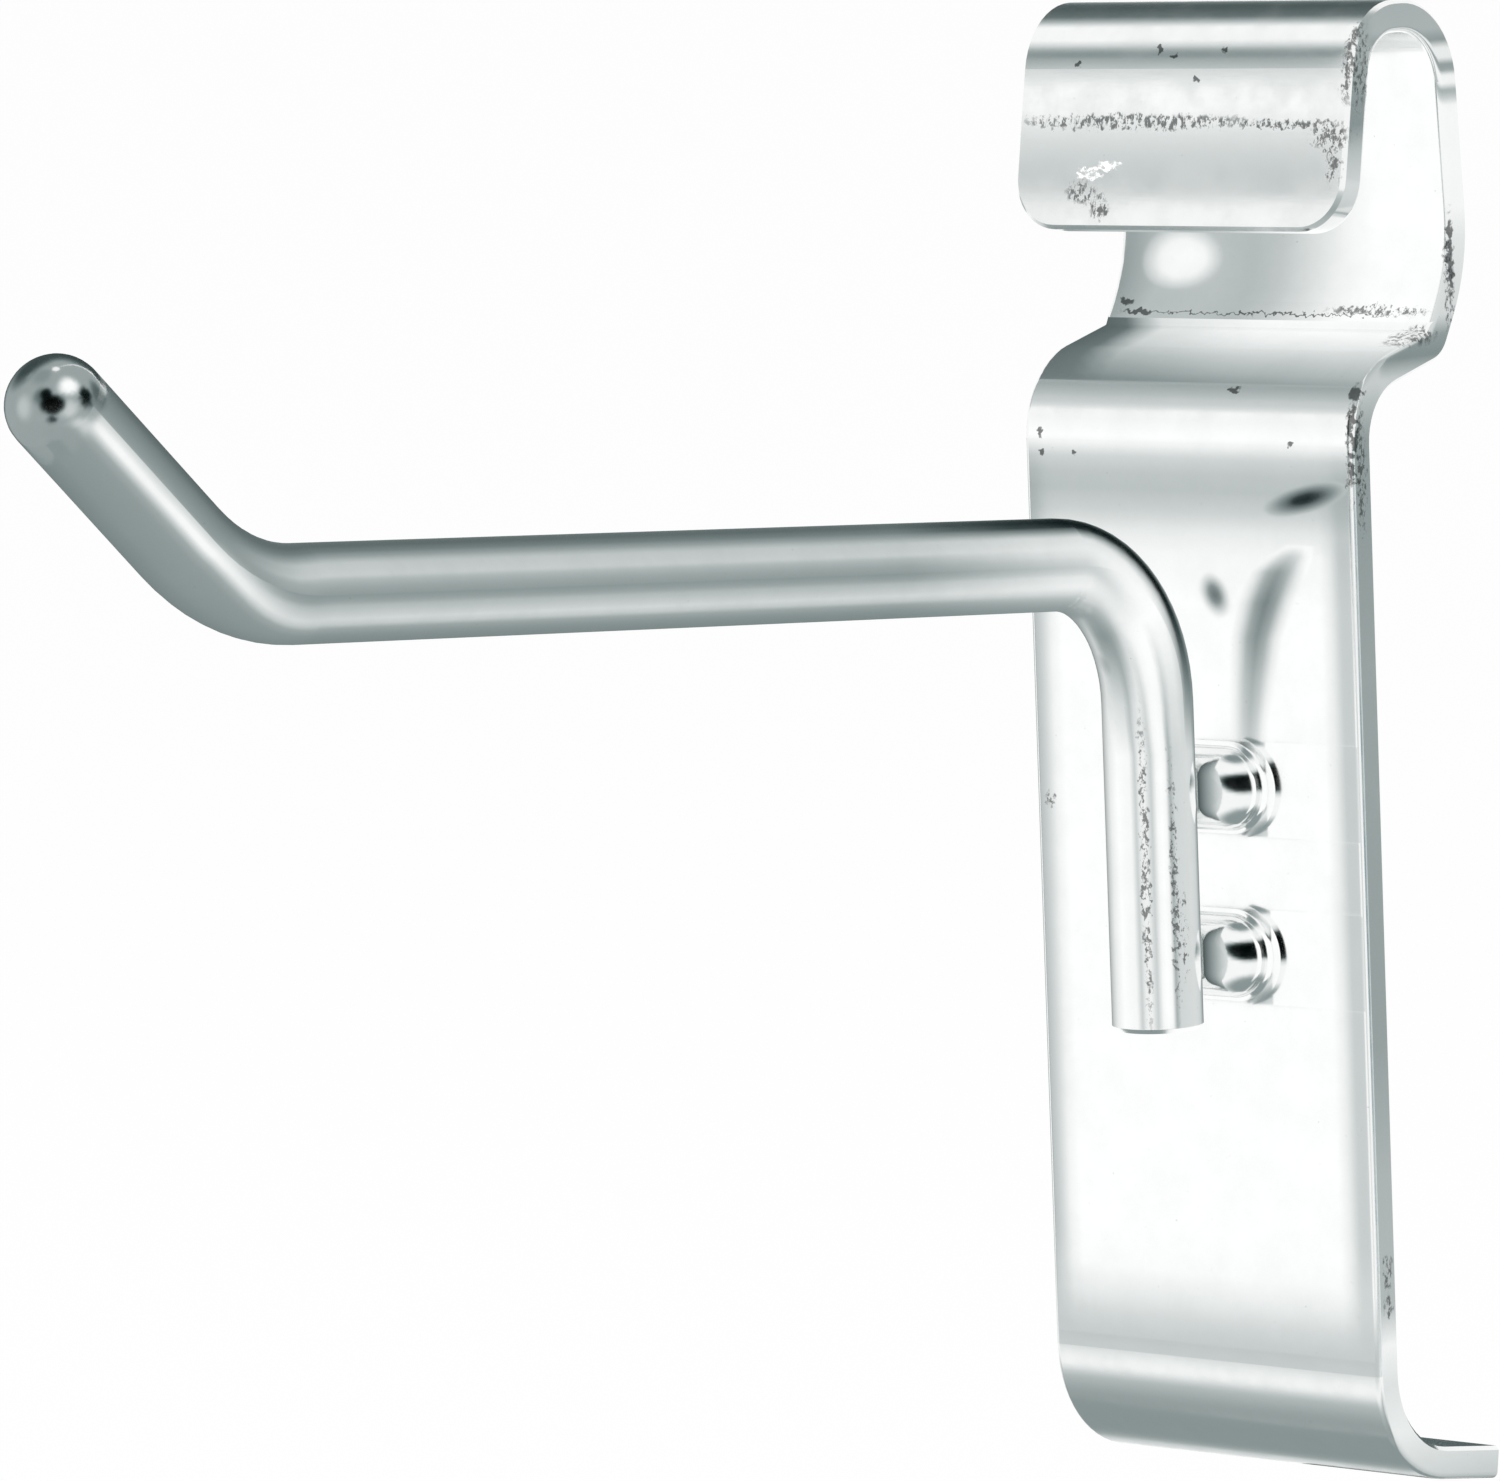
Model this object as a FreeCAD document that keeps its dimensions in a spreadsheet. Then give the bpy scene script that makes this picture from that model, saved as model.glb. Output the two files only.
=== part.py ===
import FreeCAD, Part
import math
import os
import Sketcher
from FreeCAD import Placement, Rotation, Vector

# Gridwall hook. A flat steel strip is folded so that its head loops over a
# horizontal grid wire and its foot turns in under the next one. A round wire
# hook stands on two pressed ribs of the strip and is welded to them.
#
# The origin is the axis of the grid wire in the loop. X runs along that wire,
# -Y points at the customer and +Z is up.

# Driving sizes in millimetres and degrees.
SIZES = [
    ("strip_width", "25.4", "width of the flat strip"),
    ("strip_gauge", "2", "thickness of the flat strip"),
    ("edge_round", "0.4", "rounding of the sheared edges of the front face"),
    ("edge_break", "0.25", "bevel of the sheared edges of the rear face"),
    ("loop_radius", "3.45", "clear radius round the grid wire"),
    ("lip_bend", "2.6", "inside radius where the lip turns down"),
    ("lip_lean", "9", "angle at which the lip stands off the neck"),
    ("lip_drop", "8.3", "lip end below the grid wire axis"),
    ("lip_corner", "3.2", "corner radius of the lip"),
    ("neck_lean", "4", "angle of the upper neck from vertical"),
    ("neck_drop", "10.8", "lower neck corner below the grid wire axis"),
    ("neck_bend", "10", "inside radius of the swept neck"),
    ("heel_set", "2.55", "heel corner behind the grid wire axis"),
    ("heel_drop", "15.55", "heel corner below the grid wire axis"),
    ("heel_bend", "0.3", "inside radius of the heel"),
    ("plate_set", "6.3", "front of the plate ahead of the grid wire axis"),
    ("shoulder_drop", "17.55", "shoulder corner below the grid wire axis"),
    ("shoulder_bend", "3.6", "inside radius of the shoulder"),
    ("foot_drop", "83.35", "foot corner below the grid wire axis"),
    ("foot_bend", "5.4", "inside radius of the foot"),
    ("foot_reach", "5.4", "foot end behind the grid wire axis"),
    ("foot_sag", "8.5", "slope of the foot below level"),
    ("wire_diameter", "5.6", "diameter of the hook wire"),
    ("leg_gap", "1.75", "gap from the plate to the back of the leg"),
    ("leg_end", "56.6", "end of the leg below the grid wire axis"),
    ("arm_drop", "28", "corner of leg and arm below the grid wire axis"),
    ("arm_bend", "9.2", "centre line radius from leg to arm"),
    ("arm_rise", "3.95", "slope of the arm above level"),
    ("arm_length", "84.2", "from the plate to the corner of the upturn"),
    ("upturn_rise", "42.3", "slope of the upturned end above level"),
    ("upturn_bend", "14", "centre line radius from arm to upturn"),
    ("upturn_length", "19.7", "from the corner to the very tip"),
    ("tip_land", "0.1", "radius of the flat spot left on the ball end"),
    ("leg_break", "0.3", "bevel of the cut end of the leg"),
    ("rib_length", "10.2", "length of a pressed rib across the strip"),
    ("rib_width", "4.9", "width of a pressed rib along the strip"),
    ("rib_bite", "0.35", "depth by which a rib is fused round the leg"),
    ("rib_root", "0.4", "rounding where a rib leaves the strip"),
    ("rib_wall", "0.06", "straight wall between the two roundings of a rib"),
    ("rib_first", "42.2", "upper rib below the grid wire axis"),
    ("rib_pitch", "10.3", "distance between the ribs"),
    ("hollow_wall", "0.95", "wall left between a rib's rim and its hollow"),
    ("hollow_depth", "1.5", "depth of the hollow behind a rib"),
]

# Sizes that follow from the driving ones: the corners of the strip's mid line
# and of the wire's centre line, in the YZ plane.
DERIVED = [
    ("half_gauge", "=strip_gauge / 2"),
    ("head_z", "=loop_radius + half_gauge"),
    ("lip_foot_z", "=-lip_drop"),
    ("lip_foot_y", "=-loop_radius - half_gauge / cos(lip_lean * 1deg) - lip_drop * tan(lip_lean * 1deg)"),
    ("lip_head_y", "=-loop_radius - half_gauge / cos(lip_lean * 1deg) + head_z * tan(lip_lean * 1deg)"),
    ("neck_head_y", "=loop_radius + half_gauge / cos(neck_lean * 1deg) - head_z * tan(neck_lean * 1deg)"),
    ("neck_foot_y", "=loop_radius + half_gauge / cos(neck_lean * 1deg) + neck_drop * tan(neck_lean * 1deg)"),
    ("neck_foot_z", "=-neck_drop"),
    ("heel_z", "=-heel_drop"),
    ("plate_y", "=half_gauge - plate_set"),
    ("shoulder_z", "=-shoulder_drop"),
    ("foot_z", "=-foot_drop"),
    ("toe_z", "=-foot_drop - (foot_reach - plate_y) * tan(foot_sag * 1deg)"),
    ("leg_y", "=-plate_set - leg_gap - wire_diameter / 2"),
    ("leg_z", "=-leg_end"),
    ("arm_z", "=-arm_drop"),
    ("upturn_y", "=-plate_set - arm_length"),
    ("upturn_z", "=arm_z + (leg_y - upturn_y) * tan(arm_rise * 1deg)"),
    ("tip_y", "=upturn_y - upturn_length * cos(upturn_rise * 1deg)"),
    ("tip_z", "=upturn_z + upturn_length * sin(upturn_rise * 1deg)"),
    ("rib_height", "=leg_gap + rib_bite"),
    ("rib_crown", "=rib_height - rib_root - rib_wall"),
]

# The numbers by which a sketch knows the points of its lines and arcs, its
# origin and its upright axis.
LINE_START, LINE_END, CENTRE = range(1, 4)
ORIGIN, UPRIGHT_AXIS = (-1, 1), -2

# Two places closer than this are the same place when edges are picked.
SAME = 1e-4

doc = FreeCAD.newDocument("GridwallHook")


def make_sheet():
    """Write every size to the spreadsheet, each under its own alias."""
    sheet = doc.addObject("Spreadsheet::Sheet", "Sizes")
    rows = [(name, text, note) for name, text, note in SIZES]
    rows += [(name, text, "derived") for name, text in DERIVED]
    for row, (name, text, note) in enumerate(rows, start=1):
        sheet.set("A%d" % row, name)
        sheet.set("B%d" % row, text)
        sheet.setAlias("B%d" % row, name)
        sheet.set("C%d" % row, note)
    doc.recompute()
    return sheet


sheet = make_sheet()


def size(name):
    """The present value of one cell as a plain number."""
    value = sheet.get(name)
    return float(getattr(value, "Value", value))


def origin_plane(body, role):
    """The plane of the body's own origin that has this role."""
    return next(f for f in body.Origin.OriginFeatures if f.Role == role)


def new_body(label):
    body = doc.addObject("PartDesign::Body", label)
    body.Label = label
    return body


def new_sketch(body, name, role, bindings=()):
    """A sketch on an origin plane of its body, moved by bound offsets."""
    sketch = body.newObject("Sketcher::SketchObject", name)
    sketch.AttachmentSupport = [(origin_plane(body, role), "")]
    sketch.MapMode = "FlatFace"
    for path, expression in bindings:
        sketch.setExpression(path, expression)
    return sketch


def bind(sketch, constraint, name, expression):
    """Add a constraint, name it and tie its value to the sheet."""
    index = sketch.addConstraint(constraint)
    sketch.renameConstraint(index, name)
    sketch.setExpression("Constraints." + name, expression)


def unit(vector):
    return vector / vector.Length


def fold_runs(corners, radii, shift):
    """Straight runs and arcs of a bent line, moved to its left by shift.

    Returns the end points of each run and, for each bend, its centre, radius
    and whether it turns left.
    """
    points = [Vector(y, z, 0) for y, z in corners]
    starts = []
    stops = []
    bends = []
    headings = [unit(b - a) for a, b in zip(points, points[1:])]
    starts.append(points[0] + left_of(headings[0]) * shift)
    for corner, before, after, radius in zip(points[1:], headings, headings[1:], radii):
        turn = before.getAngle(after)
        turns_left = before.cross(after).z > 0
        side = 1 if turns_left else -1
        reach = radius * math.tan(turn / 2)
        centre = corner - before * reach + left_of(before) * radius * side
        moved = radius - shift * side
        stops.append(centre - left_of(before) * moved * side)
        starts.append(centre - left_of(after) * moved * side)
        bends.append((centre, moved, turns_left))
    stops.append(points[-1] + left_of(headings[-1]) * shift)
    return list(zip(starts, stops)), bends


def left_of(heading):
    return Vector(-heading.y, heading.x, 0)


def draw_guide(sketch, names):
    """Construction lines through the named corners, tied to the sheet."""
    values = [(size(y), size(z)) for y, z in names]
    guide = []
    for a, b in zip(values, values[1:]):
        line = Part.LineSegment(Vector(a[0], a[1], 0), Vector(b[0], b[1], 0))
        guide.append(sketch.addGeometry(line, True))
    for before, after in zip(guide, guide[1:]):
        sketch.addConstraint(Sketcher.Constraint("Coincident", before, LINE_END, after, LINE_START))
    ends = [(guide[0], LINE_START)] + [(line, LINE_END) for line in guide]
    for number, ((line, end), (y, z), (cell_y, cell_z)) in enumerate(zip(ends, values, names)):
        across = Sketcher.Constraint("DistanceX", *ORIGIN, line, end, y)
        bind(sketch, across, "corner%d_y" % number, "Sizes." + cell_y)
        upward = Sketcher.Constraint("DistanceY", *ORIGIN, line, end, z)
        bind(sketch, upward, "corner%d_z" % number, "Sizes." + cell_z)
    return guide, values


def draw_folded(sketch, tag, corners, bends, shift):
    """One side of a folded line: straight runs joined by tangent arcs.

    bends holds, for each corner, its centre line radius and the expression
    that drives the radius of this side.
    """
    runs, arcs = fold_runs(corners, [radius for radius, _ in bends], shift)
    lines = [sketch.addGeometry(Part.LineSegment(a, b), False) for a, b in runs]
    for number, (centre, radius, turns_left) in enumerate(arcs):
        into = runs[number][1] - centre
        out = runs[number + 1][0] - centre
        first, last = (into, out) if turns_left else (out, into)
        start = math.atan2(first.y, first.x)
        stop = math.atan2(last.y, last.x)
        circle = Part.Circle(centre, Vector(0, 0, 1), radius)
        arc = sketch.addGeometry(Part.ArcOfCircle(circle, start, stop), False)
        near, far = (LINE_START, LINE_END) if turns_left else (LINE_END, LINE_START)
        sketch.addConstraint(Sketcher.Constraint("Tangent", lines[number], LINE_END, arc, near))
        sketch.addConstraint(Sketcher.Constraint("Tangent", arc, far, lines[number + 1], LINE_START))
        bent = Sketcher.Constraint("Radius", arc, radius)
        bind(sketch, bent, "%s_bend%d" % (tag, number), bends[number][1])
    return lines


def strip_bends(shift):
    """Mid line radius and driving expression of each bend of one side."""
    inside_right = ["lip_bend", "loop_radius", "neck_bend", "heel_bend"]
    inside_left = ["shoulder_bend", "foot_bend"]
    bends = []
    for name in inside_right + inside_left:
        is_inside = (name in inside_left) == (shift > 0)
        expression = "Sizes." + name + ("" if is_inside else " + Sizes.strip_gauge")
        bends.append((size(name) + size("half_gauge"), expression))
    return bends


def draw_strip_profile(body):
    """The folded section of the strip, closed, in the YZ plane."""
    names = [("lip_foot_y", "lip_foot_z"), ("lip_head_y", "head_z"), ("neck_head_y", "head_z"),
             ("neck_foot_y", "neck_foot_z"), ("heel_set", "heel_z"), ("plate_y", "shoulder_z"),
             ("plate_y", "foot_z"), ("foot_reach", "toe_z")]
    sketch = new_sketch(body, "FoldedSection", "YZ_Plane")
    guide, corners = draw_guide(sketch, names)
    sides = []
    for tag, side in (("left", 1), ("right", -1)):
        shift = side * size("half_gauge")
        lines = draw_folded(sketch, tag, corners, strip_bends(shift), shift)
        for number, (line, middle) in enumerate(zip(lines, guide)):
            sketch.addConstraint(Sketcher.Constraint("Parallel", line, middle))
            apart = Sketcher.Constraint("Distance", middle, LINE_START, line, size("half_gauge"))
            bind(sketch, apart, "%s_gauge%d" % (tag, number), "Sizes.half_gauge")
        sides.append(lines)
    left, right = sides
    for end, index in ((LINE_START, 0), (LINE_END, -1)):
        a = sketch.getPoint(left[index], end)
        b = sketch.getPoint(right[index], end)
        cap = sketch.addGeometry(Part.LineSegment(a, b), False)
        sketch.addConstraint(Sketcher.Constraint("Coincident", cap, LINE_START, left[index], end))
        sketch.addConstraint(Sketcher.Constraint("Coincident", cap, LINE_END, right[index], end))
        sketch.addConstraint(Sketcher.Constraint("PointOnObject", guide[index], end, cap))
        sketch.addConstraint(Sketcher.Constraint("Perpendicular", cap, guide[index]))
    return sketch


def edges_where(feature, test):
    """Names of the edges of a feature that pass a test."""
    return ["Edge%d" % number for number, edge in enumerate(feature.Shape.Edges, start=1) if test(edge)]


def treat_edges(body, kind, name, base, test, expression):
    """Fillet or Chamfer the edges that pass a test, and all that run on smoothly."""
    feature = body.newObject("PartDesign::" + kind, name)
    feature.Base = (base, edges_where(base, test))
    feature.setExpression("Radius" if kind == "Fillet" else "Size", expression)
    doc.recompute()
    return feature


def draw_slot(sketch, tag, length, width, z):
    """A slot lying along X, its centre below the origin of the sketch."""
    radius = width / 2
    half = length / 2 - radius
    up, down = Vector(0, radius, 0), Vector(0, -radius, 0)
    right, left = Vector(half, z, 0), Vector(-half, z, 0)
    top = sketch.addGeometry(Part.LineSegment(left + up, right + up), False)
    bottom = sketch.addGeometry(Part.LineSegment(left + down, right + down), False)
    axis = Vector(0, 0, 1)
    quarter = math.pi / 2
    east = sketch.addGeometry(Part.ArcOfCircle(Part.Circle(right, axis, radius), -quarter, quarter), False)
    west = sketch.addGeometry(Part.ArcOfCircle(Part.Circle(left, axis, radius), quarter, 3 * quarter), False)
    joints = [(top, LINE_END, east, LINE_END), (bottom, LINE_END, east, LINE_START),
              (top, LINE_START, west, LINE_START), (bottom, LINE_START, west, LINE_END)]
    for line, end, arc, arc_end in joints:
        sketch.addConstraint(Sketcher.Constraint("Tangent", line, end, arc, arc_end))
    sketch.addConstraint(Sketcher.Constraint("Horizontal", top))
    sketch.addConstraint(Sketcher.Constraint("Symmetric", east, CENTRE, west, CENTRE, UPRIGHT_AXIS))
    return east, west


def draw_ribs(body, name, depth_expression, length_expression, width_expression):
    """Both ribs' outlines in a plane parallel to the plate."""
    sketch = new_sketch(body, name, "XZ_Plane", [("AttachmentOffset.Base.z", depth_expression)])
    for number in range(2):
        below = "Sizes.rib_first" + (" + Sizes.rib_pitch" if number else "")
        z = -(size("rib_first") + number * size("rib_pitch"))
        east, west = draw_slot(sketch, "rib%d" % number, size("rib_length"), size("rib_width"), z)
        bind(sketch, Sketcher.Constraint("Diameter", east, size("rib_width")),
             "rib%d_width" % number, width_expression)
        bind(sketch, Sketcher.Constraint("DistanceX", west, CENTRE, east, CENTRE, size("rib_length")),
             "rib%d_length" % number, "%s - (%s)" % (length_expression, width_expression))
        bind(sketch, Sketcher.Constraint("DistanceY", *ORIGIN, east, CENTRE, z),
             "rib%d_place" % number, "-(%s)" % below)
    return sketch


def build_back_plate():
    """The folded strip with its two pressed ribs, hollow at the back."""
    body = new_body("back_plate")
    section = draw_strip_profile(body)
    strip = body.newObject("PartDesign::Pad", "Strip")
    strip.Profile = section
    strip.SideType = "Symmetric"
    strip.setExpression("Length", "Sizes.strip_width")
    doc.recompute()

    half_width = size("strip_width") / 2
    lip_top = size("lip_foot_z") + size("lip_corner") + size("strip_gauge")
    face_y = -size("plate_set")
    rear_y = face_y + size("strip_gauge")

    def at_side(edge):
        box = edge.BoundBox
        return box.XLength < SAME and abs(abs(box.XMin) - half_width) < SAME

    def in_plane(edge, y):
        return edge.BoundBox.YLength < SAME and abs(edge.BoundBox.YMin - y) < SAME

    def is_lip_corner(edge):
        box = edge.BoundBox
        through_gauge = abs(edge.Length - size("strip_gauge")) < SAME
        on_lip = box.YMax < 0 and size("neck_foot_z") < box.ZMin and box.ZMax < lip_top
        return at_side(edge) and through_gauge and on_lip

    lip = treat_edges(body, "Fillet", "LipCorners", strip, is_lip_corner, "Sizes.lip_corner")
    front = treat_edges(body, "Fillet", "FrontEdges", lip,
                        lambda edge: at_side(edge) and in_plane(edge, face_y), "Sizes.edge_round")
    treat_edges(body, "Chamfer", "RearEdges", front,
                lambda edge: at_side(edge) and in_plane(edge, rear_y), "Sizes.edge_break")

    outlines = draw_ribs(body, "RibOutlines", "Sizes.plate_set", "Sizes.rib_length", "Sizes.rib_width")
    ribs = body.newObject("PartDesign::Pad", "Ribs")
    ribs.Profile = outlines
    ribs.setExpression("Length", "Sizes.rib_height")
    doc.recompute()

    crest_y = face_y - size("rib_height")
    ribs_end = -size("rib_first") - size("rib_pitch") - size("rib_width")

    def at_rib_root(edge):
        box = edge.BoundBox
        within = max(-box.XMin, box.XMax) < size("rib_length") / 2 + SAME
        return in_plane(edge, face_y) and within and box.ZMin > ribs_end

    crowned = treat_edges(body, "Fillet", "RibCrowns", ribs,
                          lambda edge: in_plane(edge, crest_y), "Sizes.rib_crown")
    rooted = treat_edges(body, "Fillet", "RibRoots", crowned, at_rib_root, "Sizes.rib_root")

    hollows = draw_ribs(body, "HollowOutlines", "Sizes.plate_set - Sizes.strip_gauge",
                        "Sizes.rib_length - 2 * Sizes.hollow_wall", "Sizes.rib_width - 2 * Sizes.hollow_wall")
    hollow = body.newObject("PartDesign::Pocket", "Hollows")
    hollow.Profile = hollows
    hollow.Reversed = True
    hollow.setExpression("Length", "Sizes.hollow_depth")
    doc.recompute()

    seat_sketch = new_sketch(body, "SeatSection", "XY_Plane",
                             [("AttachmentOffset.Base.z", "Sizes.rib_width / 2 - Sizes.rib_first")])
    draw_wire_section(seat_sketch)
    seat = body.newObject("PartDesign::Pocket", "LegSeat")
    seat.Profile = seat_sketch
    seat.setExpression("Length", "Sizes.rib_pitch + Sizes.rib_width")
    doc.recompute()
    for before, after in ((rooted, hollow), (hollow, seat)):
        if not after.Shape.Volume < before.Shape.Volume:
            raise RuntimeError(after.Label + " cuts nothing")
    body.Tip = seat
    return body


def draw_wire_section(sketch):
    """The round section of the wire where the leg stands."""
    radius = size("wire_diameter") / 2
    circle = Part.Circle(Vector(0, size("leg_y"), 0), Vector(0, 0, 1), radius)
    ring = sketch.addGeometry(circle, False)
    sketch.addConstraint(Sketcher.Constraint("PointOnObject", ring, CENTRE, UPRIGHT_AXIS))
    upward = Sketcher.Constraint("DistanceY", *ORIGIN, ring, CENTRE, size("leg_y"))
    bind(sketch, upward, "leg_place", "Sizes.leg_y")
    bind(sketch, Sketcher.Constraint("Diameter", ring, 2 * radius), "wire_size", "Sizes.wire_diameter")


def build_hook_wire():
    """The round wire: a leg down the plate, an arm and an upturned end."""
    body = new_body("hook_wire")
    path = new_sketch(body, "WirePath", "YZ_Plane")
    names = [("leg_y", "leg_z"), ("leg_y", "arm_z"), ("upturn_y", "upturn_z"), ("tip_y", "tip_z")]
    guide, corners = draw_guide(path, names)
    bends = [(size(name), "Sizes." + name) for name in ("arm_bend", "upturn_bend")]
    runs = draw_folded(path, "wire", corners, bends, 0)
    for number, (run, middle) in enumerate(zip(runs, guide)):
        for end in (LINE_START, LINE_END):
            at_tip = (number, end) in ((0, LINE_START), (len(runs) - 1, LINE_END))
            if at_tip:
                path.addConstraint(Sketcher.Constraint("Coincident", run, end, middle, end))
            else:
                path.addConstraint(Sketcher.Constraint("PointOnObject", run, end, middle))
    section = new_sketch(body, "WireSection", "XY_Plane", [("AttachmentOffset.Base.z", "Sizes.leg_z")])
    draw_wire_section(section)
    doc.recompute()
    wire = body.newObject("PartDesign::AdditivePipe", "BentWire")
    wire.Profile = section
    wire.Spine = (path, ["Edge%d" % number for number in range(1, len(path.Shape.Edges) + 1)])
    doc.recompute()

    def ends_at(y, z):
        place = Vector(0, size(y), size(z))

        def test(edge):
            is_ring = isinstance(edge.Curve, Part.Circle)
            return is_ring and (edge.Curve.Center - place).Length < size("wire_diameter") / 10
        return test

    tip = treat_edges(body, "Fillet", "BallEnd", wire, ends_at("tip_y", "tip_z"),
                      "Sizes.wire_diameter / 2 - Sizes.tip_land")
    treat_edges(body, "Chamfer", "LegEnd", tip, ends_at("leg_y", "leg_z"), "Sizes.leg_break")
    return body


def check(bodies):
    """Stop if any object failed or a body is not one sound solid."""
    for item in doc.Objects:
        if {"Invalid", "Error"} & set(item.State):
            raise RuntimeError("failed: " + item.Label)
    for body in bodies:
        shape = body.Shape
        if shape.isNull() or not shape.isValid() or len(shape.Solids) != 1:
            raise RuntimeError("not one sound solid: " + body.Label)


bodies = [build_back_plate(), build_hook_wire()]
doc.recompute()
check(bodies)
os.makedirs("parts", exist_ok=True)
for body in bodies:
    body.Shape.exportStep("parts/%s.step" % body.Label)
    print(body.Label, round(body.Shape.Volume, 2), "mm3")
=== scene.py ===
import math

import bpy
from mathutils import Matrix, Vector

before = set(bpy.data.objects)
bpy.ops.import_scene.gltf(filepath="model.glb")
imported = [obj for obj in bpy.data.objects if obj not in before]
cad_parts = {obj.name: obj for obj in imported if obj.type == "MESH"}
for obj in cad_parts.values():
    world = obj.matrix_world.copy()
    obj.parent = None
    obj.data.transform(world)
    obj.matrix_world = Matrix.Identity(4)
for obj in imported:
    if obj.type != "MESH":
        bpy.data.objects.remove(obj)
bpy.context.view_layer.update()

MM = 0.001
FRONT = Vector((0, -1, 0))
WHITE = (1, 1, 1, 1)


def mm(x, y, z):
    """A place given in millimetres."""
    return Vector((x, y, z)) * MM


def towards(azimuth, elevation):
    """A direction by its turn from the front, -Y, towards +X and its height, in degrees."""
    a, e = math.radians(azimuth), math.radians(elevation)
    return Vector((math.sin(a) * math.cos(e), -math.cos(a) * math.cos(e), math.sin(e)))


# Camera: it looks at the middle of the picture, in metres and degrees.
AIM = Vector((-0.0110, -0.0351, -0.0368))
TO_CAMERA = towards(41.0, 6.22)
ROLL = -2.16
DISTANCE = 0.5754
LENS = 231.6
SENSOR = 36.0
EYE = AIM + TO_CAMERA * DISTANCE

# Room round the hook. The hook hangs above the floor.
ROOM_LIGHT = 0.75
FLOOR_Z = -0.26
FLOOR_SIZE = 24.0
FLOOR_GLOW = 0.95
PALE = (0.93, 0.93, 0.93, 1.0)

# Places on the hook, in metres, from which some of the studio cards are laid out.
LIP = Vector((0, -0.003, 0.004))
LEG = Vector((0, -0.012, -0.047))
RIBS = Vector((0, -0.008, -0.045))
BALL = Vector((0, -0.1030, -0.0111))

# Share of a card's light that the plating gives back.
MIRRORED = 0.93

# Cards close to the plate: its front, how squarely the camera looks at it, and how far
# a card in front of the veils is seen beside and below its own place, in millimetres.
PLATE_FACE = -6.3
SQUARENESS = 0.787
SMUDGE_Y = -7.7
SEEN_BESIDE, SEEN_BELOW = 1.1, 0.15

# Cards beside the sheared side of the strip, in millimetres.
SIDE_X = 14.5


def node(tree, kind, **inputs):
    """A shader node with some of its sockets set or linked, by name or as i and a number."""
    made = tree.nodes.new("ShaderNode" + kind)
    for name, value in inputs.items():
        connect(tree, made, name, value)
    return made


def connect(tree, made, name, value):
    numbered = name[0] == "i" and name[1:].isdigit()
    socket = made.inputs[int(name[1:]) if numbered else name]
    if isinstance(value, bpy.types.NodeSocket):
        tree.links.new(value, socket)
    else:
        socket.default_value = value


def maths(tree, operation, *values):
    made = tree.nodes.new("ShaderNodeMath")
    made.operation = operation
    for number, value in enumerate(values):
        connect(tree, made, "i%d" % number, value)
    return made.outputs[0]


def vector_maths(tree, operation, *values):
    made = tree.nodes.new("ShaderNodeVectorMath")
    made.operation = operation
    for number, value in enumerate(values):
        connect(tree, made, "Scale" if operation == "SCALE" and number == 1 else "i%d" % number, value)
    return made.outputs["Value" if operation == "LENGTH" else "Vector"]


def seen_directly(tree):
    """1 on rays from the camera, from a mirror or through glass, otherwise 0."""
    path = tree.nodes.new("ShaderNodeLightPath")
    first = maths(tree, "MAXIMUM", path.outputs["Is Camera Ray"], path.outputs["Is Glossy Ray"])
    return maths(tree, "MAXIMUM", first, path.outputs["Is Transmission Ray"])


def make_world():
    world = bpy.data.worlds.new("Studio")
    bpy.context.scene.world = world
    world.use_nodes = True
    tree = world.node_tree
    tree.nodes.clear()
    lit = node(tree, "Background", Color=WHITE, Strength=ROOM_LIGHT)
    shown = node(tree, "Background", Color=WHITE, Strength=1.0)
    mix = node(tree, "MixShader", Fac=seen_directly(tree), i1=lit.outputs[0], i2=shown.outputs[0])
    node(tree, "OutputWorld", Surface=mix.outputs[0])


def make_floor():
    bpy.ops.mesh.primitive_plane_add(size=FLOOR_SIZE, location=(0, 0, FLOOR_Z))
    floor = bpy.context.object
    floor.name = "floor"
    material = bpy.data.materials.new("floor")
    material.use_nodes = True
    tree = material.node_tree
    tree.nodes.clear()
    plain = node(tree, "BsdfDiffuse", Color=PALE)
    glow = node(tree, "Emission", Color=WHITE, Strength=1.0)
    share = maths(tree, "MULTIPLY", seen_directly(tree), FLOOR_GLOW)
    mix = node(tree, "MixShader", Fac=share, i1=plain.outputs[0], i2=glow.outputs[0])
    node(tree, "OutputMaterial", Surface=mix.outputs[0])
    floor.data.materials.append(material)


def card_paint():
    """The material of all cards: each glows with the tone stored in its corners."""
    paint = bpy.data.materials.get("card")
    if paint is None:
        paint = bpy.data.materials.new("card")
        paint.use_nodes = True
        tree = paint.node_tree
        tree.nodes.clear()
        tone = tree.nodes.new("ShaderNodeAttribute")
        tone.attribute_name = "tone"
        glow = node(tree, "Emission", Color=tone.outputs["Color"], Strength=1.0)
        node(tree, "OutputMaterial", Surface=glow.outputs[0])
    return paint


def linear(value):
    """A displayed value, from 0 to 1, in linear light."""
    return value / 12.92 if value < 0.04 else ((value + 0.055) / 1.055) ** 2.4


def shade(tone, cool):
    """A grey as it should look in the plating, a little cool, in linear light."""
    less_red = min(0.045, 0.1 * (1 - tone)) + cool
    mixed = (tone - less_red, tone, min(tone + cool / 2, 1))
    return (*(linear(max(value, 0)) / MIRRORED for value in mixed), 1)


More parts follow.
